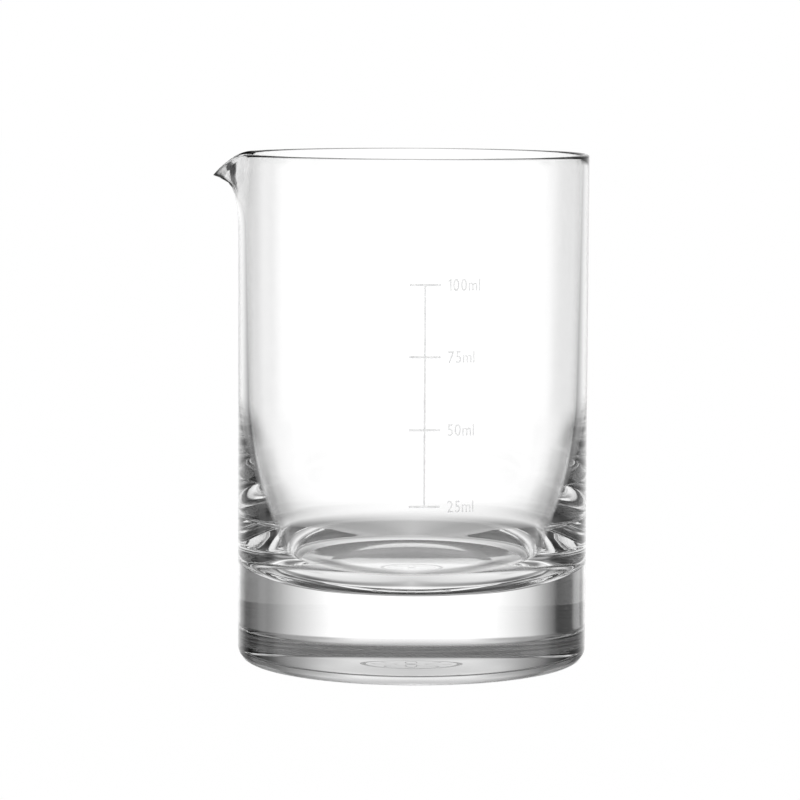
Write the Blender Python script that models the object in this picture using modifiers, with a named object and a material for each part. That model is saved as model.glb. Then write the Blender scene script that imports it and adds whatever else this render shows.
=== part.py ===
"""A small mixing glass: a straight bowl on a heavy base, with a pulled pouring lip and a fired-on scale.

Metres, +Z up. The origin is the centre of the flat underside. The lip points to -X and the scale faces -Y.
The glass is one continuous piece. The scale is fired ceramic ink: one ladder of lines and a row of
separate characters beside each line, all lying just off the outer wall.
"""

from math import atan2, cos, hypot, pi, radians, sin, tan

import bpy
import bmesh
from mathutils import Matrix

# Glass, outside
OUTER_RADIUS = 0.02815
HEIGHT = 0.0819
BASE_EDGE_RADIUS = 0.0023  # rounding between the side and the underside
SIDE_SEGMENTS = 96

# Glass, inside. A straight wall leans in a little from the rim down, and three arcs turn it onto the floor:
# a long shoulder, a tight corner and a shallow heel. Each leaves the one before on a tangent.
RIM_WALL = 0.00098
BASE_THICKNESS = 0.0126  # from the underside to the bowl's floor
WALL_LEAN = 1.0  # degrees off upright, for the straight wall
CORNER_LEAN = 15.9  # degrees off upright, where the shoulder meets the corner
HEEL_SLOPE = 27.0  # degrees off level, where the corner meets the heel
SHOULDER_RADIUS = 0.0927
CORNER_RADIUS = 0.0073
HEEL_RADIUS = 0.0190
HEEL_STEPS = 6
CORNER_STEPS = 6
SHOULDER_STEPS = 9

# Pouring lip
LIP_REACH = 0.0045  # beyond the side
LIP_DROP = 0.0037  # its tip below the rim
LIP_HALF_ANGLE = radians(18.4)
LIP_DEPTH = 0.0113  # how far down the wall it is drawn from
LIP_CURL = 0.00136  # a smaller value turns the lip out more sharply
LIP_POINTEDNESS = 1.6  # how much faster its drop fades than its reach, going round the rim
LIP_RINGS = 7

# Scale
SCALE_ML = (25, 50, 75, 100)
SCALE_ANGLE = radians(3.6)  # from -Y towards +X
INK_GAP = 0.0003  # between the glass and the ink
INK_THICKNESS = 0.00025
TICK_HALF_LENGTH = 0.0024
TICK_WIDTH = 0.00032
STEM_WIDTH = 0.00026
TEXT_OFFSET = 0.0036  # from the stem to a label's left edge, round the wall
DIGIT_HEIGHT = 0.0018
DIGIT_HEIGHT_OF_FONT = 0.682  # digit height at a font size of 1
CHARACTER_NARROWING = 0.80
CHARACTER_GAP = 0.0003
UNIT = "ml"
# The font's figure one is a bare stroke, so this one has a flag. Across and up, in digit heights.
FIGURE_ONE = ((0.14, 0.0), (0.25, 0.0), (0.25, 1.0), (0.17, 1.0), (0.0, 0.86), (0.0, 0.75), (0.14, 0.85))

INK_INNER_RADIUS = OUTER_RADIUS + INK_GAP
INK_OUTER_RADIUS = INK_INNER_RADIUS + INK_THICKNESS


def clear_scene():
    for obj in list(bpy.data.objects):
        bpy.data.objects.remove(obj, do_unlink=True)


def new_collection(name):
    collection = bpy.data.collections.new(name)
    bpy.context.scene.collection.children.link(collection)
    return collection


def new_material(name, colour, roughness, transmission=0.0):
    material = bpy.data.materials.new(name)
    material.use_nodes = True
    shader = material.node_tree.nodes["Principled BSDF"]
    shader.inputs["Base Color"].default_value = (*colour, 1.0)
    shader.inputs["Roughness"].default_value = roughness
    shader.inputs["Metallic"].default_value = 0.0
    shader.inputs["Transmission Weight"].default_value = transmission
    return material


def add_object(name, mesh, collection):
    obj = bpy.data.objects.new(name, mesh)
    collection.objects.link(obj)
    return obj


def as_mesh(obj, name):
    """The object's evaluated shape as a mesh of its own; the object itself is removed."""
    bpy.context.view_layer.update()
    graph = bpy.context.evaluated_depsgraph_get()
    mesh = bpy.data.meshes.new_from_object(obj.evaluated_get(graph))
    mesh.transform(obj.matrix_world)
    bpy.data.objects.remove(obj, do_unlink=True)
    mesh.name = name
    work = bmesh.new()
    work.from_mesh(mesh)
    bmesh.ops.remove_doubles(work, verts=work.verts, dist=1e-6)
    work.to_mesh(mesh)
    work.free()
    return mesh


def turned_mesh(name, profile, closed, collection):
    """A profile of (radius, height) points, turned about Z. It runs down its outer side."""
    count = len(profile)
    edges = [(i, (i + 1) % count) for i in range(count if closed else count - 1)]
    line = bpy.data.meshes.new(name)
    line.from_pydata([(radius, 0.0, height) for radius, height in profile], edges, [])
    obj = add_object(name, line, collection)
    screw = obj.modifiers.new("Turn", "SCREW")
    screw.steps = screw.render_steps = SIDE_SEGMENTS
    screw.use_merge_vertices = True
    screw.merge_threshold = 1e-5
    return as_mesh(obj, name)


def arc(centre, radius, start, end, steps):
    """Points round an arc from one angle to another, in degrees from +X."""
    angles = [radians(start + (end - start) * i / steps) for i in range(steps + 1)]
    return [(centre[0] + radius * cos(a), centre[1] + radius * sin(a)) for a in angles]


def inner_rim_edge():
    return (OUTER_RADIUS - RIM_WALL, HEIGHT - RIM_WALL / 2)


def bowl_curve():
    """The inside, from the edge of the flat floor up to where the wall runs straight."""
    wall, turned, heel_slope = radians(WALL_LEAN), radians(CORNER_LEAN), radians(HEEL_SLOPE)
    heel_height = BASE_THICKNESS + HEEL_RADIUS
    corner_height = heel_height - (HEEL_RADIUS - CORNER_RADIUS) * cos(heel_slope)
    shoulder_height = corner_height + (SHOULDER_RADIUS - CORNER_RADIUS) * sin(turned)
    rim_radius, rim_height = inner_rim_edge()
    wall_foot_height = shoulder_height - SHOULDER_RADIUS * sin(wall)
    wall_foot_radius = rim_radius - (rim_height - wall_foot_height) * tan(wall)
    shoulder_across = wall_foot_radius - SHOULDER_RADIUS * cos(wall)
    corner_across = shoulder_across + (SHOULDER_RADIUS - CORNER_RADIUS) * cos(turned)
    heel_across = corner_across - (HEEL_RADIUS - CORNER_RADIUS) * sin(heel_slope)
    heel = arc((heel_across, heel_height), HEEL_RADIUS, -90, HEEL_SLOPE - 90, HEEL_STEPS)
    corner_middle = (corner_across, corner_height)
    corner = arc(corner_middle, CORNER_RADIUS, HEEL_SLOPE - 90, -CORNER_LEAN, CORNER_STEPS)
    shoulder_middle = (shoulder_across, shoulder_height)
    shoulder = arc(shoulder_middle, SHOULDER_RADIUS, -CORNER_LEAN, -WALL_LEAN, SHOULDER_STEPS)
    return heel + corner[1:] + shoulder[1:]


def lip_heights():
    """Heights of the rings that the lip is drawn from, from the lowest up, closer near the rim."""
    top = HEIGHT - RIM_WALL / 2
    spread = [LIP_DEPTH * (i / LIP_RINGS) ** 1.6 for i in range(LIP_RINGS, 0, -1)]
    return [top - depth for depth in spread]


def glass_profile():
    """Up the inside from the middle of the floor, over the rim, down the outside and in under the base."""
    rim_radius = RIM_WALL / 2
    bowl = bowl_curve()
    bowl_top, rim_edge = bowl[-1], inner_rim_edge()
    slope = (rim_edge[0] - bowl_top[0]) / (rim_edge[1] - bowl_top[1])
    inside = [(bowl_top[0] + slope * (z - bowl_top[1]), z) for z in lip_heights() if z > bowl_top[1]]
    rim = arc((OUTER_RADIUS - rim_radius, HEIGHT - rim_radius), rim_radius, 180, 0, 4)
    outside = [(OUTER_RADIUS, z) for z in reversed(lip_heights())]
    edge_centre = (OUTER_RADIUS - BASE_EDGE_RADIUS, BASE_EDGE_RADIUS)
    edge = arc(edge_centre, BASE_EDGE_RADIUS, 0, -90, 4)
    return [(0.0, BASE_THICKNESS)] + bowl + inside + rim + outside + edge + [(0.0, 0.0)]


def draw_out_lip(mesh):
    """Pulls the rim out and down at -X, both walls together, fading round the rim and down the wall."""
    for vertex in mesh.vertices:
        x, y, z = vertex.co
        turn = abs(atan2(y, -x)) / LIP_HALF_ANGLE
        depth = max(HEIGHT - z, 0.0)
        if turn >= 1.0 or depth >= LIP_DEPTH:
            continue
        round_rim = cos(pi / 2 * turn) ** 2
        down_wall = 1.0 - depth / LIP_DEPTH
        reach = LIP_REACH * round_rim * down_wall / (1.0 + depth / LIP_CURL)
        radius = hypot(x, y)
        vertex.co.x = x * (1.0 + reach / radius)
        vertex.co.y = y * (1.0 + reach / radius)
        vertex.co.z = z - LIP_DROP * round_rim**LIP_POINTEDNESS * down_wall


def finish(obj, material):
    obj.data.materials.clear()
    obj.data.materials.append(material)
    obj.data.shade_smooth()
    obj.data.set_sharp_from_angle(angle=radians(40))


def make_glass(collection, material):
    mesh = turned_mesh("glass_body", glass_profile(), False, collection)
    draw_out_lip(mesh)
    finish(add_object("glass_body", mesh, collection), material)


def bowl_volume(height):
    """Cubic metres that the bowl holds up to a height above the underside."""
    profile = [(0.0, BASE_THICKNESS)] + bowl_curve() + [inner_rim_edge()]
    volume = 0.0
    for (r0, z0), (r1, z1) in zip(profile, profile[1:]):
        if z1 <= z0:
            continue
        share = min(max((height - z0) / (z1 - z0), 0.0), 1.0)
        r_top = r0 + share * (r1 - r0)
        volume += pi / 3 * (r0 * r0 + r0 * r_top + r_top * r_top) * share * (z1 - z0)
    return volume


def fill_height(millilitres):
    """The height of the surface when the bowl holds this much, found by halving."""
    low, high = BASE_THICKNESS, HEIGHT
    for _ in range(40):
        middle = (low + high) / 2
        if bowl_volume(middle) < millilitres * 1e-6:
            low = middle
        else:
            high = middle
    return (low + high) / 2


def ladder_outline(heights):
    """One closed outline of the stem with a tick across it at each height, as (across, up) points."""
    half_stem, half_tick = STEM_WIDTH / 2, TICK_WIDTH / 2
    right = []
    for height in heights:
        low, high = height - half_tick, height + half_tick
        right += [(half_stem, low), (TICK_HALF_LENGTH, low), (TICK_HALF_LENGTH, high), (half_stem, high)]
    right = right[1:-1]  # the lowest and highest ticks are the ladder's ends
    left = [(-across, up) for across, up in reversed(right)]
    return right + left


def flat_piece(name, outline, depth, collection):
    """A prism on an outline in the XZ plane, its depth along Y and centred on it."""
    curve = bpy.data.curves.new(name, "CURVE")
    curve.dimensions = "2D"
    curve.fill_mode = "BOTH"
    curve.extrude = depth / 2
    spline = curve.splines.new("POLY")
    spline.points.add(len(outline) - 1)
    for point, (across, up) in zip(spline.points, outline):
        point.co = (across, up, 0.0, 1.0)
    spline.use_cyclic_u = True
    obj = add_object(name, curve, collection)
    obj.matrix_world = Matrix.Rotation(pi / 2, 4, "X")
    return as_mesh(obj, name)


def make_ink_layer(collection, heights):
    """A thin sleeve round the glass, which the ladder is cut from so that it follows the wall."""
    bottom, top = min(heights) - TICK_WIDTH, max(heights) + TICK_WIDTH
    section = [
        (INK_INNER_RADIUS, top),
        (INK_OUTER_RADIUS, top),
        (INK_OUTER_RADIUS, bottom),
        (INK_INNER_RADIUS, bottom),
    ]
    sleeve = add_object("ink_layer", turned_mesh("ink_layer", section, True, collection), collection)
    sleeve.hide_render = True
    sleeve.display_type = "WIRE"
    return sleeve


def make_ladder(collection, cutters, material, heights):
    outline = ladder_outline(heights)
    depth = 2 * (INK_OUTER_RADIUS - INK_OUTER_RADIUS * cos(TICK_HALF_LENGTH / OUTER_RADIUS)) + 0.002
    mesh = flat_piece("scale_ladder", outline, depth, collection)
    mesh.transform(Matrix.Translation((0.0, -INK_OUTER_RADIUS, 0.0)))
    mesh.transform(Matrix.Rotation(SCALE_ANGLE, 4, "Z"))
    ladder = add_object("scale_ladder", mesh, collection)
    cut = ladder.modifiers.new("Follow the wall", "BOOLEAN")
    cut.operation = "INTERSECT"
    cut.solver = "EXACT"
    cut.object = make_ink_layer(cutters, heights)
    finish(ladder, material)


def figure_one_mesh(name, collection):
    outline = [(across * DIGIT_HEIGHT, up * DIGIT_HEIGHT) for across, up in FIGURE_ONE]
    return flat_piece(name, outline, INK_THICKNESS, collection)


def character_mesh(name, character, collection):
    """One upright character facing -Y, its left edge on the YZ plane and its foot at height 0."""
    if character == "1":
        return figure_one_mesh(name, collection)
    curve = bpy.data.curves.new(name, "FONT")
    curve.body = character
    curve.size = DIGIT_HEIGHT / DIGIT_HEIGHT_OF_FONT
    curve.extrude = INK_THICKNESS / 2
    curve.resolution_u = 3
    obj = add_object(name, curve, collection)
    obj.matrix_world = Matrix.Rotation(pi / 2, 4, "X") @ Matrix.Diagonal((CHARACTER_NARROWING, 1.0, 1.0, 1.0))
    mesh = as_mesh(obj, name)
    left = min(vertex.co.x for vertex in mesh.vertices)
    mesh.transform(Matrix.Translation((-left, 0.0, 0.0)))
    return mesh


def make_label(millilitres, height, collection, material):
    """A label's characters, side by side round the wall, each flat and square to the wall behind it."""
    along = TEXT_OFFSET
    middle_radius = (INK_INNER_RADIUS + INK_OUTER_RADIUS) / 2
    for place, character in enumerate(f"{millilitres}{UNIT}"):
        name = f"mark_{millilitres}_{place + 1}_{character}"
        mesh = character_mesh(name, character, collection)
        width = max(vertex.co.x for vertex in mesh.vertices)
        angle = SCALE_ANGLE + (along + width / 2) / OUTER_RADIUS
        mesh.transform(Matrix.Translation((-width / 2, -middle_radius, height - DIGIT_HEIGHT / 2)))
        mesh.transform(Matrix.Rotation(angle, 4, "Z"))
        finish(add_object(name, mesh, collection), material)
        along += width + CHARACTER_GAP


def main():
    clear_scene()
    parts = new_collection("mixing_glass")
    cutters = new_collection("cutters")
    glass = new_material("glass", (0.96, 0.97, 0.97), 0.0, transmission=1.0)
    ink = new_material("scale_ink", (0.86, 0.87, 0.88), 0.45)
    heights = [fill_height(millilitres) for millilitres in SCALE_ML]
    make_glass(parts, glass)
    make_ladder(parts, cutters, ink, heights)
    for millilitres, height in zip(SCALE_ML, heights):
        make_label(millilitres, height, parts, ink)


main()
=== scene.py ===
# %% [markdown]
# # A small mixing glass
#
# A bar's mixing glass is one piece of clear glass: a straight bowl on a heavy base, with a pouring lip
# pulled out of the rim while it was soft, and a scale fired onto its side. Clear glass has no colour of its
# own to paint. What is seen is its shape bending the light of the studio, so this lesson spends its care on
# two things: a smooth and exact wall, and a studio lit the way glass is lit.
#
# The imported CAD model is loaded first. It is the frame that every piece is placed by.

# %% Load the frame
from math import atan2, cos, hypot, pi, radians, sin, tan

import bpy
from mathutils import Matrix, Vector


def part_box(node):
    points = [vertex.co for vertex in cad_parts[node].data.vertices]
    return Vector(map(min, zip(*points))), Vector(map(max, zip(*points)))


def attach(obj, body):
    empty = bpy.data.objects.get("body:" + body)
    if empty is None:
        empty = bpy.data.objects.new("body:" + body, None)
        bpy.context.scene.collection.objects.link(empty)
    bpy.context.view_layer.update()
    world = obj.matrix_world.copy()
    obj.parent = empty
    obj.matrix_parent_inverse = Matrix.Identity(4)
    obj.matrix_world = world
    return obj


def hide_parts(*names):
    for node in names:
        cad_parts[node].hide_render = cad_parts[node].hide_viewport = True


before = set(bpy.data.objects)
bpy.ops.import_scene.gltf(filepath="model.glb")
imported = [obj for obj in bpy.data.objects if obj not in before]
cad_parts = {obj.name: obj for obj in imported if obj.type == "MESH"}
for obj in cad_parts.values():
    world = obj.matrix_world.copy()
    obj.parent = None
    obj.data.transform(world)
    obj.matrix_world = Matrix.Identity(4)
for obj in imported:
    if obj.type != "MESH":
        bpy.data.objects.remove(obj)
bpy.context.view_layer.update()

MM = 0.001

# %% [markdown]
# ## Sizes
#
# The outside radius and the height are read from the glass of the CAD model. The rest are the maker's
# sizes for the inside: a thin wall that leans in by one degree, a long shoulder arc that thickens it
# towards the base, a tight corner arc, and a shallow heel arc onto the flat floor. Each arc leaves the
# one before on a tangent, because an eye that sees no kink in the shape still sees one in what the
# glass refracts. The hollow under the base is a guess, from the way that the base bends light.

# %% Sizes of the glass
glass_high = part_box("glass_body")[1]
OUTER_RADIUS = glass_high.x
HEIGHT = glass_high.z
RIM_WALL = 0.98 * MM
FLOOR_HEIGHT = 12.6 * MM
WALL_LEAN = radians(1.0)
CORNER_LEAN = radians(15.9)
HEEL_SLOPE = radians(27.0)
SHOULDER_RADIUS = 92.7 * MM
CORNER_RADIUS = 7.3 * MM
HEEL_RADIUS = 19.0 * MM
BASE_EDGE_RADIUS = 2.3 * MM
HOLLOW_RADIUS = 19.0 * MM
HOLLOW_DEPTH = 0.6 * MM
print(f"outer radius {OUTER_RADIUS / MM:.2f} mm, height {HEIGHT / MM:.2f} mm")

# %% [markdown]
# ## The wall in section
#
# A turned piece is drawn as half of its section and then spun. The section could be a curve object, but
# a curve spaces its points evenly along its handles, and here each arc wants its own spacing: many short
# steps round the tight rim and corner, few on the straight wall. So the points are worked out first.


# %% The section's points
def arc(centre, radius, start, end, steps):
    """Points (radius, height) round an arc, from one angle to another."""
    angles = [start + (end - start) * i / steps for i in range(steps + 1)]
    return [(centre[0] + radius * cos(a), centre[1] + radius * sin(a)) for a in angles]


def straight(start, end, steps):
    """Points along a straight line, without its two ends."""
    shares = [i / steps for i in range(1, steps)]
    return [(start[0] + (end[0] - start[0]) * t, start[1] + (end[1] - start[1]) * t) for t in shares]


def bowl_section():
    """The inside, from the middle of the floor up to the rim."""
    heel_height = FLOOR_HEIGHT + HEEL_RADIUS
    corner_height = heel_height - (HEEL_RADIUS - CORNER_RADIUS) * cos(HEEL_SLOPE)
    shoulder_height = corner_height + (SHOULDER_RADIUS - CORNER_RADIUS) * sin(CORNER_LEAN)
    rim = (OUTER_RADIUS - RIM_WALL, HEIGHT - RIM_WALL / 2)
    foot_height = shoulder_height - SHOULDER_RADIUS * sin(WALL_LEAN)
    foot_radius = rim[0] - (rim[1] - foot_height) * tan(WALL_LEAN)
    shoulder_across = foot_radius - SHOULDER_RADIUS * cos(WALL_LEAN)
    corner_across = shoulder_across + (SHOULDER_RADIUS - CORNER_RADIUS) * cos(CORNER_LEAN)
    heel_across = corner_across - (HEEL_RADIUS - CORNER_RADIUS) * sin(HEEL_SLOPE)
    heel_end = HEEL_SLOPE - pi / 2
    heel = arc((heel_across, heel_height), HEEL_RADIUS, -pi / 2, heel_end, 14)
    corner = arc((corner_across, corner_height), CORNER_RADIUS, heel_end, -CORNER_LEAN, 20)
    shoulder = arc((shoulder_across, shoulder_height), SHOULDER_RADIUS, -CORNER_LEAN, -WALL_LEAN, 30)
    floor = [(0.0, FLOOR_HEIGHT)] + straight((0.0, FLOOR_HEIGHT), heel[0], 8)
    return floor + heel + corner[1:] + shoulder[1:] + straight(shoulder[-1], rim, 30)


def underside():
    """From the flat ring that the glass stands on to the middle of the hollow."""
    radii = [HOLLOW_RADIUS * (1 - i / 24) for i in range(25)]
    return [(radius, HOLLOW_DEPTH * (1 - (radius / HOLLOW_RADIUS) ** 2)) for radius in radii]


def glass_section():
    """Up the inside, over the rim, down the outside and in under the base."""
    rim_radius = RIM_WALL / 2
    rim = arc((OUTER_RADIUS - rim_radius, HEIGHT - rim_radius), rim_radius, pi, 0, 12)
    edge = arc((OUTER_RADIUS - BASE_EDGE_RADIUS, BASE_EDGE_RADIUS), BASE_EDGE_RADIUS, 0, -pi / 2, 16)
    return bowl_section() + rim + straight(rim[-1], edge[0], 60) + edge + underside()


section = glass_section()
print(len(section), "points in the section")

# %% [markdown]
# ## Spinning the glass
#
# The section is drawn as by hand: a plane is merged to one vertex, the vertex is moved to the first point,
# and it is extruded from point to point. Spin then turns the line once round the axis. It leaves a seam
# and a heap of vertices on the axis, so doubles are merged, and after that the normals are recalculated,
# because a spun line can come out with its faces pointing in.


# %% Draw and spin
def only(obj):
    """Selects one object and nothing else."""
    bpy.ops.object.select_all(action="DESELECT")
    obj.select_set(True)
    bpy.context.view_layer.objects.active = obj


def drawn_line(name, points):
    """A mesh of one line, extruded vertex by vertex through the points, in the XZ plane."""
    bpy.ops.object.select_all(action="DESELECT")
    bpy.ops.mesh.primitive_plane_add(size=MM, location=(0.0, 0.0, 0.0))
    obj = bpy.context.active_object
    obj.name = obj.data.name = name
    bpy.ops.object.mode_set(mode="EDIT")
    bpy.ops.mesh.select_mode(type="VERT")
    bpy.ops.mesh.select_all(action="SELECT")
    bpy.ops.mesh.merge(type="CENTER")
    bpy.ops.transform.translate(value=(points[0][0], 0.0, points[0][1]))
    for (r0, z0), (r1, z1) in zip(points, points[1:]):
        bpy.ops.mesh.extrude_vertices_move(TRANSFORM_OT_translate={"value": (r1 - r0, 0.0, z1 - z0)})
    bpy.ops.object.mode_set(mode="OBJECT")
    return obj


def spin_round(obj, steps):
    only(obj)
    bpy.ops.object.mode_set(mode="EDIT")
    bpy.ops.mesh.select_all(action="SELECT")
    bpy.ops.mesh.spin(steps=steps, angle=2 * pi, center=(0.0, 0.0, 0.0), axis=(0.0, 0.0, 1.0))
    bpy.ops.mesh.select_all(action="SELECT")
    bpy.ops.mesh.remove_doubles(threshold=1e-6)
    bpy.ops.mesh.normals_make_consistent(inside=False)
    bpy.ops.object.mode_set(mode="OBJECT")
    bpy.ops.object.shade_smooth()


glass = drawn_line("vessel", section)
spin_round(glass, 240)
print(len(glass.data.vertices), "vertices,", len(glass.data.polygons), "faces")

# %% [markdown]
# ## Pulling the lip
#
# A glassmaker softens one place of the rim and draws it out and down with a tool, so both walls move
# together and the pull fades round the rim and down the wall. Proportional editing does this by hand, but
# its falloff is the same in every direction. Here the pull fades faster going round than going down, and
# most of it happens in the top few millimetres, so each vertex is moved by a rule, the same as the CAD's.

# %% Lip
LIP_REACH = 4.5 * MM
LIP_DROP = 3.7 * MM
LIP_HALF_ANGLE = radians(18.4)
LIP_DEPTH = 11.3 * MM
LIP_CURL = 1.36 * MM
LIP_POINTEDNESS = 1.6


def pull_lip(mesh):
    for vertex in mesh.vertices:
        x, y, z = vertex.co
        turn = abs(atan2(y, -x)) / LIP_HALF_ANGLE
        depth = max(HEIGHT - z, 0.0)
        if turn >= 1.0 or depth >= LIP_DEPTH:
            continue
        round_rim = cos(pi / 2 * turn) ** 2
        down_wall = 1.0 - depth / LIP_DEPTH
        reach = LIP_REACH * round_rim * down_wall / (1.0 + depth / LIP_CURL)
        grown = 1.0 + reach / hypot(x, y)
        vertex.co = (x * grown, y * grown, z - LIP_DROP * round_rim**LIP_POINTEDNESS * down_wall)
    mesh.update()


pull_lip(glass.data)
print("glass reaches", round(min(v.co.x for v in glass.data.vertices) / MM, 2), "mm towards the lip")

# %% [markdown]
# ## Node trees as sums
#
# A finish is easier to read as a sum than as a picture of boxes. `Wire` wraps one socket, and a plus or a
# times on it adds a Math node. Every other node comes from `Graph.add`, which takes the node's type, its
# settings, which are set first, and what goes into its sockets.


# %% Graph and Wire
class Graph:
    """A node tree to draw on."""

    def __init__(self, tree):
        self.tree = tree
        tree.nodes.clear()

    def add(self, kind, settings=None, sockets=None, out=0):
        node = self.tree.nodes.new(kind)
        for name, value in (settings or {}).items():
            if name == "stops":
                self.set_stops(node.color_ramp, value)
            else:
                setattr(node, name, value)
        for key, value in (sockets or {}).items():
            if isinstance(value, Wire):
                self.tree.links.new(value.socket, node.inputs[key])
            else:
                node.inputs[key].default_value = value
        return Wire(self, node.outputs[out]) if node.outputs else node

    def set_stops(self, ramp, stops):
        while len(ramp.elements) > 1:
            ramp.elements.remove(ramp.elements[-1])
        ramp.elements[0].position = stops[0][0]
        ramp.elements[0].color = (*[stops[0][1]] * 3, 1.0)
        for place, grey in stops[1:]:
            ramp.elements.new(place).color = (grey, grey, grey, 1.0)

    def maths(self, operation, *values, clamp=False):
        sockets = dict(enumerate(values))
        return self.add("ShaderNodeMath", {"operation": operation, "use_clamp": clamp}, sockets)

    def ramp(self, wire, low, high, stops):
        """A curve of greys over a range of numbers."""
        places = [((at - low) / (high - low), grey) for at, grey in stops]
        return self.add("ShaderNodeValToRGB", {"stops": places}, {0: (wire - low) / (high - low)})

    def mix(self, share, first, second):
        """A colour mixed from two."""
        sockets = {0: share, 6: first, 7: second}
        return self.add("ShaderNodeMix", {"data_type": "RGBA"}, sockets, out=2)


class Wire:
    """One socket's value, to do sums with."""

    def __init__(self, graph, socket):
        self.graph = graph
        self.socket = socket

    def output(self, name):
        return Wire(self.graph, self.socket.node.outputs[name])

    def __add__(self, other):
        return self.graph.maths("ADD", self, other)

    def __sub__(self, other):
        return self.graph.maths("SUBTRACT", self, other)

    def __rsub__(self, other):
        return self.graph.maths("SUBTRACT", other, self)

    def __mul__(self, other):
        return self.graph.maths("MULTIPLY", self, other)

    def __truediv__(self, other):
        return self.graph.maths("DIVIDE", self, other)

    def __pow__(self, other):
        return self.graph.maths("POWER", self, other)

    __radd__ = __add__
    __rmul__ = __mul__


def new_finish(name):
    material = bpy.data.materials.new(name)
    material.use_nodes = True
    return material, Graph(material.node_tree)


def give(obj, material):
    obj.data.materials.clear()
    obj.data.materials.append(material)


# %% [markdown]
# ## Clear glass
#
# Glass is the Principled shader with Transmission at 1 and the index of refraction of soda glass, 1.5.
# Perfect numbers look like plastic, so small faults are added. The wall is very slightly wavy from the
# mould. Handling leaves faint patches that are a little less polished. The lowest edge of the foot is
# scuffed by the bar, which is a guess about wear: polished, its many small reflections turn to noise. And
# a mark is sandblasted in the middle of the underside. A mark of nobody's is drawn here, a ring round a
# rosette of petals, as a mask that raises the roughness where the base is frosted.

# %% Clear glass
GLASS_INDEX = 1.5
MARK_RADIUS = 5.6 * MM
MARK_PETALS = 8
MARK_TOP = 1.0 * MM
SCUFF_TOP = 0.9 * MM
FOOT_RADIUS = OUTER_RADIUS - BASE_EDGE_RADIUS
FROST_ROUGHNESS = 0.35
SCUFF_ROUGHNESS = 0.3
HANDLED_ROUGHNESS = 0.012

glass_finish, g = new_finish("clear_glass")
place = g.add("ShaderNodeTexCoord").output("Object")
at = g.add("ShaderNodeSeparateXYZ", None, {0: place})
across, along, up = at, at.output("Y"), at.output("Z")

# %% Frosted mark
from_axis = (across * across + along * along) ** 0.5
from_middle = from_axis / MARK_RADIUS
petal_turn = g.maths("ARCTAN2", along, across) * MARK_PETALS
petal_edge = 0.52 + 0.22 * g.maths("COSINE", petal_turn)
ring = g.maths("COMPARE", from_middle, 0.93, 0.055)
petals = g.maths("COMPARE", from_middle, petal_edge, 0.035)
heart = g.maths("LESS_THAN", from_middle, 0.12)
under = g.maths("LESS_THAN", up, MARK_TOP)
mark = g.maths("MAXIMUM", g.maths("MAXIMUM", ring, petals), heart) * under

# %% Wave, handling and scuffs
stretched = g.add("ShaderNodeMapping", None, {0: place, 3: (1.0, 1.0, 0.45)})
wave = g.add("ShaderNodeTexNoise", None, {"Vector": stretched, "Scale": 55.0, "Detail": 1.0})
patches = g.add("ShaderNodeTexNoise", None, {"Vector": place, "Scale": 90.0, "Detail": 4.0})
handled = g.ramp(patches, 0.0, 1.0, [(0.45, 0.0), (0.75, 1.0)])
scuffed = g.maths("LESS_THAN", up, SCUFF_TOP) * g.maths("GREATER_THAN", from_axis, FOOT_RADIUS)
roughness = HANDLED_ROUGHNESS * handled + FROST_ROUGHNESS * mark + SCUFF_ROUGHNESS * scuffed
frost = g.add("ShaderNodeTexNoise", None, {"Vector": place, "Scale": 9000.0, "Detail": 2.0})
relief = wave + 0.06 * frost * mark
normal = g.add("ShaderNodeBump", None, {"Strength": 0.12, "Distance": 0.1 * MM, "Height": relief})
shader = g.add(
    "ShaderNodeBsdfPrincipled",
    None,
    {
        "Base Color": (1.0, 1.0, 1.0, 1.0),
        "Roughness": roughness,
        "IOR": GLASS_INDEX,
        "Transmission Weight": 1.0,
        "Normal": normal,
    },
)
g.add("ShaderNodeOutputMaterial", None, {"Surface": shader})
give(glass, glass_finish)
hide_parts("glass_body")
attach(glass, "root")
print("clear_glass has", len(glass_finish.node_tree.nodes), "nodes")

# %% [markdown]
# ## The scale's lines
#
# The scale is a film of ceramic ink, printed and fired, about two hundredths of a millimetre thick. The
# CAD holds it as plates that stand off the glass. Here it is a film that lies on the wall. One strip is
# the stem. It is cut across at each line, and the little faces between the cuts are pulled out sideways
# to make the ticks, so that the whole ladder is one sheet. The heights come from the CAD's labels.

# %% Where the lines are
FILM_LIFT = 0.012 * MM
FILM_THICKNESS = 0.02 * MM
TICK_HALF_LENGTH = 2.4 * MM
TICK_WIDTH = 0.32 * MM
STEM_WIDTH = 0.26 * MM
LABELS = ("25", "50", "75", "100")

ladder_low, ladder_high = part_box("scale_ladder")
ladder_middle = (ladder_low + ladder_high) / 2
SCALE_TURN = atan2(ladder_middle.x, -ladder_middle.y)


def label_nodes(label):
    """The CAD's characters of one label, in reading order."""
    return sorted(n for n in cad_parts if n.startswith(f"mark_{label}_"))


def label_middle(label):
    low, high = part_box(label_nodes(label)[1])
    return (low.z + high.z) / 2


lowest, highest = ladder_low.z + TICK_WIDTH / 2, ladder_high.z - TICK_WIDTH / 2
shares = [(label_middle(n) - label_middle("25")) / (label_middle("100") - label_middle("25")) for n in LABELS]
line_heights = [lowest + share * (highest - lowest) for share in shares]
print("lines at", [round(h / MM, 2) for h in line_heights], "mm")


# %% Lay a flat sheet on the wall
def lay_on_wall(mesh, turn):
    """Wraps a mesh drawn on the XZ plane round the glass. Its depth along Y becomes its depth off the wall."""
    for vertex in mesh.vertices:
        x, y, z = vertex.co
        angle = turn + x / OUTER_RADIUS
        out = OUTER_RADIUS + FILM_LIFT - y
        vertex.co = (out * sin(angle), -out * cos(angle), z)
    mesh.update()


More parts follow.
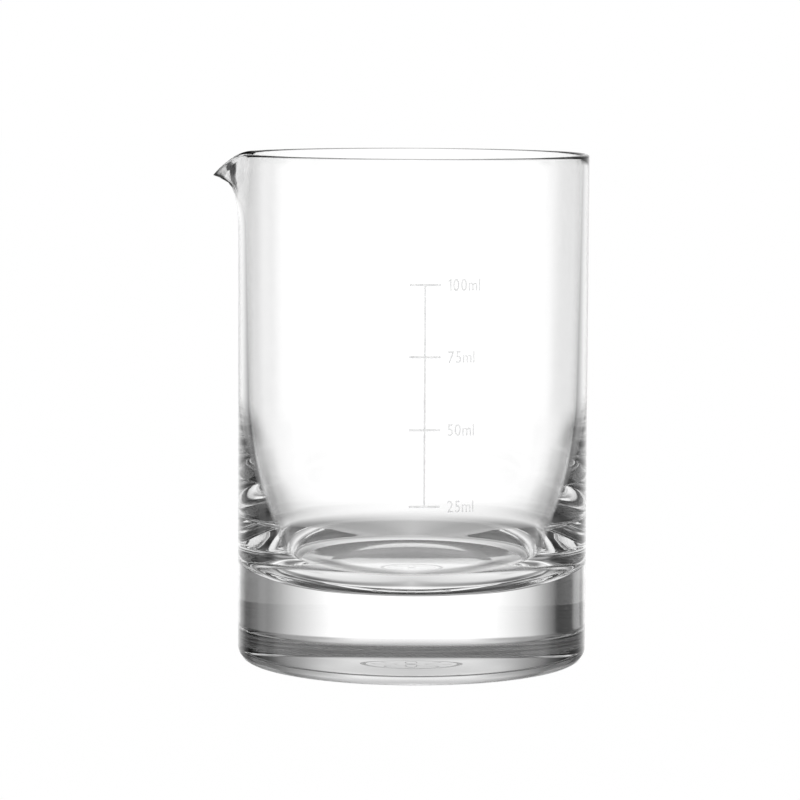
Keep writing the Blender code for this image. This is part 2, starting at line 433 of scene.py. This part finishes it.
def thicken(obj):
    """Gives a sheet facing -Y the thickness of the film, outwards."""
    only(obj)
    solid = obj.modifiers.new("Film", "SOLIDIFY")
    solid.thickness = FILM_THICKNESS
    solid.offset = 1.0
    bpy.ops.object.modifier_apply(modifier=solid.name)


# %% Stem and ticks
def cut_across(height):
    bpy.ops.mesh.select_all(action="SELECT")
    bpy.ops.mesh.bisect(plane_co=(0.0, 0.0, height), plane_no=(0.0, 0.0, 1.0))


def pick_tick_edges(obj, side):
    """Selects the short upright edges at one side of the stem, between the cuts of each line."""
    bpy.ops.mesh.select_all(action="DESELECT")
    bpy.ops.object.mode_set(mode="OBJECT")
    vertices = obj.data.vertices
    for edge in obj.data.edges:
        a, b = (vertices[i].co for i in edge.vertices)
        middle = (a + b) / 2
        near = any(abs(middle.z - height) < TICK_WIDTH / 2 for height in line_heights)
        outermost = side * middle.x > STEM_WIDTH / 2 - 1e-6
        if near and outermost and abs(a.x - b.x) < 1e-7:
            edge.select = True
    bpy.ops.object.mode_set(mode="EDIT")


def make_ladder():
    bpy.ops.object.select_all(action="DESELECT")
    middle = (line_heights[0] + line_heights[-1]) / 2
    bpy.ops.mesh.primitive_plane_add(size=1.0, location=(0.0, 0.0, middle), rotation=(pi / 2, 0.0, 0.0))
    obj = bpy.context.active_object
    obj.name = obj.data.name = "scale_lines"
    obj.scale = (STEM_WIDTH, line_heights[-1] - line_heights[0] + TICK_WIDTH, 1.0)
    bpy.ops.object.transform_apply(location=True, rotation=True, scale=True)
    bpy.ops.object.mode_set(mode="EDIT")
    bpy.ops.mesh.select_mode(type="EDGE")
    for height in line_heights:
        cut_across(height - TICK_WIDTH / 2)
        cut_across(height + TICK_WIDTH / 2)
    for side in (-1, 1):
        pick_tick_edges(obj, side)
        step = side * (TICK_HALF_LENGTH - STEM_WIDTH / 2) / 6
        for _ in range(6):
            bpy.ops.mesh.extrude_edges_move(TRANSFORM_OT_translate={"value": (step, 0.0, 0.0)})
    bpy.ops.mesh.select_all(action="SELECT")
    bpy.ops.mesh.remove_doubles(threshold=1e-7)
    bpy.ops.mesh.normals_make_consistent(inside=False)
    bpy.ops.object.mode_set(mode="OBJECT")
    return obj


ladder = make_ladder()
if sum(p.normal.y for p in ladder.data.polygons) > 0:
    ladder.data.flip_normals()
thicken(ladder)
lay_on_wall(ladder.data, SCALE_TURN)
print("scale_lines:", len(ladder.data.polygons), "faces")

# %% [markdown]
# ## The scale's characters
#
# Each character is a text object made a mesh, set to the height and place of its CAD node and laid on the
# wall like the lines. The figure one of Blender's own font is a bare bar, so that one is drawn as an
# outline with a flag and filled.

# %% One character
CHARACTER_NARROWING = 0.80
FIGURE_ONE = ((0.14, 0.0), (0.25, 0.0), (0.25, 1.0), (0.17, 1.0), (0.0, 0.86), (0.0, 0.75), (0.14, 0.85))


def figure_one(name):
    obj = drawn_line(name, FIGURE_ONE)
    bpy.ops.object.mode_set(mode="EDIT")
    bpy.ops.mesh.select_all(action="SELECT")
    bpy.ops.mesh.edge_face_add()
    bpy.ops.object.mode_set(mode="OBJECT")
    return obj


def letter(name, character):
    bpy.ops.object.select_all(action="DESELECT")
    bpy.ops.object.text_add(location=(0.0, 0.0, 0.0), rotation=(pi / 2, 0.0, 0.0))
    obj = bpy.context.active_object
    obj.name = name
    obj.data.body = character
    obj.data.resolution_u = 6
    obj.scale = (CHARACTER_NARROWING, 1.0, 1.0)
    bpy.ops.object.convert(target="MESH")
    obj = bpy.context.active_object
    bpy.ops.object.transform_apply(location=True, rotation=True, scale=True)
    bpy.ops.object.mode_set(mode="EDIT")
    bpy.ops.mesh.select_all(action="SELECT")
    bpy.ops.mesh.remove_doubles(threshold=1e-5)
    bpy.ops.object.mode_set(mode="OBJECT")
    obj.name = obj.data.name = name
    return obj


def make_character(node):
    """The character of one CAD node, as tall as the node and in the same place round the wall."""
    character = node[-1]
    name = node.replace("mark", "print")
    obj = figure_one(name) if character == "1" else letter(name, character)
    low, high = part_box(node)
    xs = [v.co.x for v in obj.data.vertices]
    zs = [v.co.z for v in obj.data.vertices]
    scale = (high.z - low.z) / (max(zs) - min(zs))
    middle = (min(xs) + max(xs)) / 2
    for vertex in obj.data.vertices:
        vertex.co = ((vertex.co.x - middle) * scale, 0.0, low.z + (vertex.co.z - min(zs)) * scale)
    if sum(p.normal.y * p.area for p in obj.data.polygons) > 0:
        obj.data.flip_normals()
    thicken(obj)
    lay_on_wall(obj.data, atan2((low.x + high.x) / 2, -(low.y + high.y) / 2))
    return obj


characters = {node: make_character(node) for label in LABELS for node in label_nodes(label)}
print(len(characters), "characters")

# %% [markdown]
# ## Fired ink
#
# The ink is a fine white frit fired into the wall. It is thin enough to let light through, so against a
# bright ground it reads as a soft pale grey, a little uneven where less frit went through the screen.
# Alpha holds how much of it covers, a fine noise breaks its cover and its colour, and a grain of bump
# makes it satin beside the polished glass.

# %% Fired ink
ink_finish, g = new_finish("fired_ink")
place = g.add("ShaderNodeTexCoord").output("Object")
grain = g.add("ShaderNodeTexNoise", None, {"Vector": place, "Scale": 9000.0, "Detail": 3.0})
cloud = g.add("ShaderNodeTexNoise", None, {"Vector": place, "Scale": 1400.0, "Detail": 2.0})
cover = g.maths("ADD", g.ramp(cloud, 0.0, 1.0, [(0.3, 0.10), (0.7, 0.24)]), 0.06 * grain, clamp=True)
tone = g.mix(grain, (0.62, 0.63, 0.64, 1.0), (0.78, 0.79, 0.79, 1.0))
grit = g.add("ShaderNodeBump", None, {"Strength": 0.4, "Distance": 0.01 * MM, "Height": grain})
shader = g.add(
    "ShaderNodeBsdfPrincipled",
    None,
    {"Base Color": tone, "Roughness": 0.38 + 0.2 * cloud, "Alpha": cover, "Normal": grit},
)
g.add("ShaderNodeOutputMaterial", None, {"Surface": shader})

for piece, nodes in [(ladder, ["scale_ladder"])] + [(c, [n]) for n, c in characters.items()]:
    give(piece, ink_finish)
    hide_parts(*nodes)
    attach(piece, "root")

# %% [markdown]
# ## Floor
#
# The glass stands on a plain pale sweep. The floor is only seen directly and by what bounces from it.
# What shines through the glass comes from the studio below, because in a bright-field set the table is lit
# from underneath, and a floor that also showed through the base would hide that light.

# %% Floor
bpy.ops.object.select_all(action="DESELECT")
bpy.ops.mesh.primitive_plane_add(size=6.0, location=(0.0, 0.0, -0.2 * MM))
floor = bpy.context.active_object
floor.name = floor.data.name = "sweep"
floor_finish, g = new_finish("pale_sweep")
shader = g.add(
    "ShaderNodeBsdfPrincipled",
    None,
    {
        "Base Color": (0.08, 0.08, 0.08, 1.0),
        "Roughness": 0.9,
        "Specular IOR Level": 0.0,
        "Emission Color": (1.0, 1.0, 1.0, 1.0),
        "Emission Strength": 0.99,
    },
)
g.add("ShaderNodeOutputMaterial", None, {"Surface": shader})
give(floor, floor_finish)
floor.visible_transmission = False
floor.visible_glossy = False

# %% [markdown]
# ## Studio light for glass
#
# A photographer lights clear glass with a bright field: a white wall straight behind it, a lit table
# under it, and black cards at both sides and overhead. The middle of the glass then shows the white wall,
# and where the wall of the glass turns away it bends the view round to the black cards, which draws its
# dark edges. The same is done here with the world, whose light depends on the direction. It is given as
# rings, each at a height in degrees above level and each a list of greys by degrees round from straight
# behind the glass. Pale gaps between the cards keep the glass clear from its other sides as well. Left
# and right are alike but for the horizon, which shows through the base and is drawn stop by stop. The
# camera itself sees plain white.

# %% Light by direction
HORIZON = ((-180, .8), (-135, .8), (-105, .6), (-98, .95), (-82, .95), (-75, .25), (-70, .11), (-66, .41),
           (-60, .32), (-56, .05), (-44, .05), (-41, .18), (-37, .27), (-30, .62), (-18, 1), (18, 1), (28, .64),
           (37, .31), (43, .24), (55, .16), (64, .07), (75, .2), (82, .95), (98, .95), (105, .6), (135, .8),
           (180, .8))
RINGS = (
    (-90, ((0, .6),)),
    (-50, ((0, .5), (8, .3), (20, .3), (40, .7), (85, .9), (180, .85))),
    (-32, ((0, 1), (8, .5), (20, .05), (32, .2), (40, .85), (55, .85), (65, .3), (85, .45), (122, .85),
           (180, .85))),
    (-22, ((0, 1), (8, 1), (14, .55), (20, .12), (28, .28), (35, .2), (40, .85), (55, .85), (65, .15), (85, .5),
           (110, .5), (122, .9), (180, .9))),
    (-14, ((0, 1), (10, 1), (14, .6), (20, .35), (28, .4), (38, .08), (50, 0), (85, .05), (110, .3), (122, .9),
           (150, .9), (180, .6))),
    (-9, HORIZON),
    (-3, HORIZON),
    (1, ((0, .82), (12, .85), (20, .4), (28, .28), (38, .16), (50, .03), (180, .05))),
    (12, ((0, .55), (14, .62), (20, .58), (28, .32), (38, .1), (50, 0), (180, 0))),
    (22, ((0, .5), (14, .52), (28, .2), (36, .02), (42, .35), (60, .35), (68, .05), (180, .05))),
    (32, ((0, .28), (20, .2), (36, 0), (42, .35), (60, .35), (68, .1), (180, .05))),
    (41, ((0, 0), (50, .05), (85, .12), (180, .06))),
    (60, ((0, 0), (85, .12), (180, .06))),
    (90, ((0, .25),)),
)
FIELD = 1.1

world = bpy.data.worlds.new("studio")
world.use_nodes = True
bpy.context.scene.world = world
g = Graph(world.node_tree)
view = g.add("ShaderNodeSeparateXYZ", None, {0: g.add("ShaderNodeTexCoord")})
round_about = g.maths("ARCTAN2", view, view.output("Y")) * (180 / pi)
upwards = g.maths("ARCSINE", view.output("Z")) * (180 / pi)


def both_sides(stops):
    """A ring's stops from -180 to 180. A list that starts at 0 is mirrored."""
    return stops if stops[0][0] < 0 else [(-turn, grey) for turn, grey in stops[:0:-1]] + list(stops)


def ring_share(index):
    """1 at the ring's own height, falling to 0 at the rings above and below."""
    heights = [ring[0] for ring in RINGS]
    near = [i for i in (index - 1, index, index + 1) if 0 <= i < len(RINGS)]
    return g.ramp(upwards, -90, 90, [(heights[i], float(i == index)) for i in near])


studio = sum(g.ramp(round_about, -180, 180, both_sides(r[1])) * ring_share(i) for i, r in enumerate(RINGS))
seen = g.add("ShaderNodeLightPath").output("Is Camera Ray")
light = g.add("ShaderNodeBackground", None, {"Color": studio * (1 - seen) * FIELD + seen})
g.add("ShaderNodeOutputWorld", None, {"Surface": light})
print("studio has", len(world.node_tree.nodes), "nodes")

# %% [markdown]
# ## Camera
#
# A long lens from a little above, far enough back that the walls look parallel. It looks down by about
# five and a half degrees and is turned a quarter of a degree about its own line of sight. Its place is
# given in radii of the glass. Light is followed through many walls of glass before it is given up.

# %% Camera
LENS = 172.07
LOOK_DOWN = radians(5.5434)
ROLL = radians(0.285)
STAND_IN_RADII = (-0.0726, -21.82, 3.6135)
LIGHT_BOUNCES = 24

camera_data = bpy.data.cameras.new("camera")
camera_data.sensor_width = 36.0
camera_data.lens = LENS
camera_data.clip_start = 0.01
camera_data.clip_end = 50.0
camera = bpy.data.objects.new("camera", camera_data)
bpy.context.scene.collection.objects.link(camera)
stand = Vector(STAND_IN_RADII) * OUTER_RADIUS
tilt = Matrix.Rotation(pi / 2 - LOOK_DOWN, 4, "X") @ Matrix.Rotation(ROLL, 4, "Z")
camera.matrix_world = Matrix.Translation(stand) @ tilt
bpy.context.scene.camera = camera
bpy.context.scene.view_settings.view_transform = "Standard"
bpy.context.scene.cycles.max_bounces = LIGHT_BOUNCES
bpy.context.scene.cycles.transmission_bounces = LIGHT_BOUNCES
bpy.context.scene.cycles.glossy_bounces = LIGHT_BOUNCES
print("camera at", [round(v, 4) for v in stand])

# %% [markdown]
# ## Finish
#
# The view layer is updated once more.

# %% Update
bpy.context.view_layer.update()
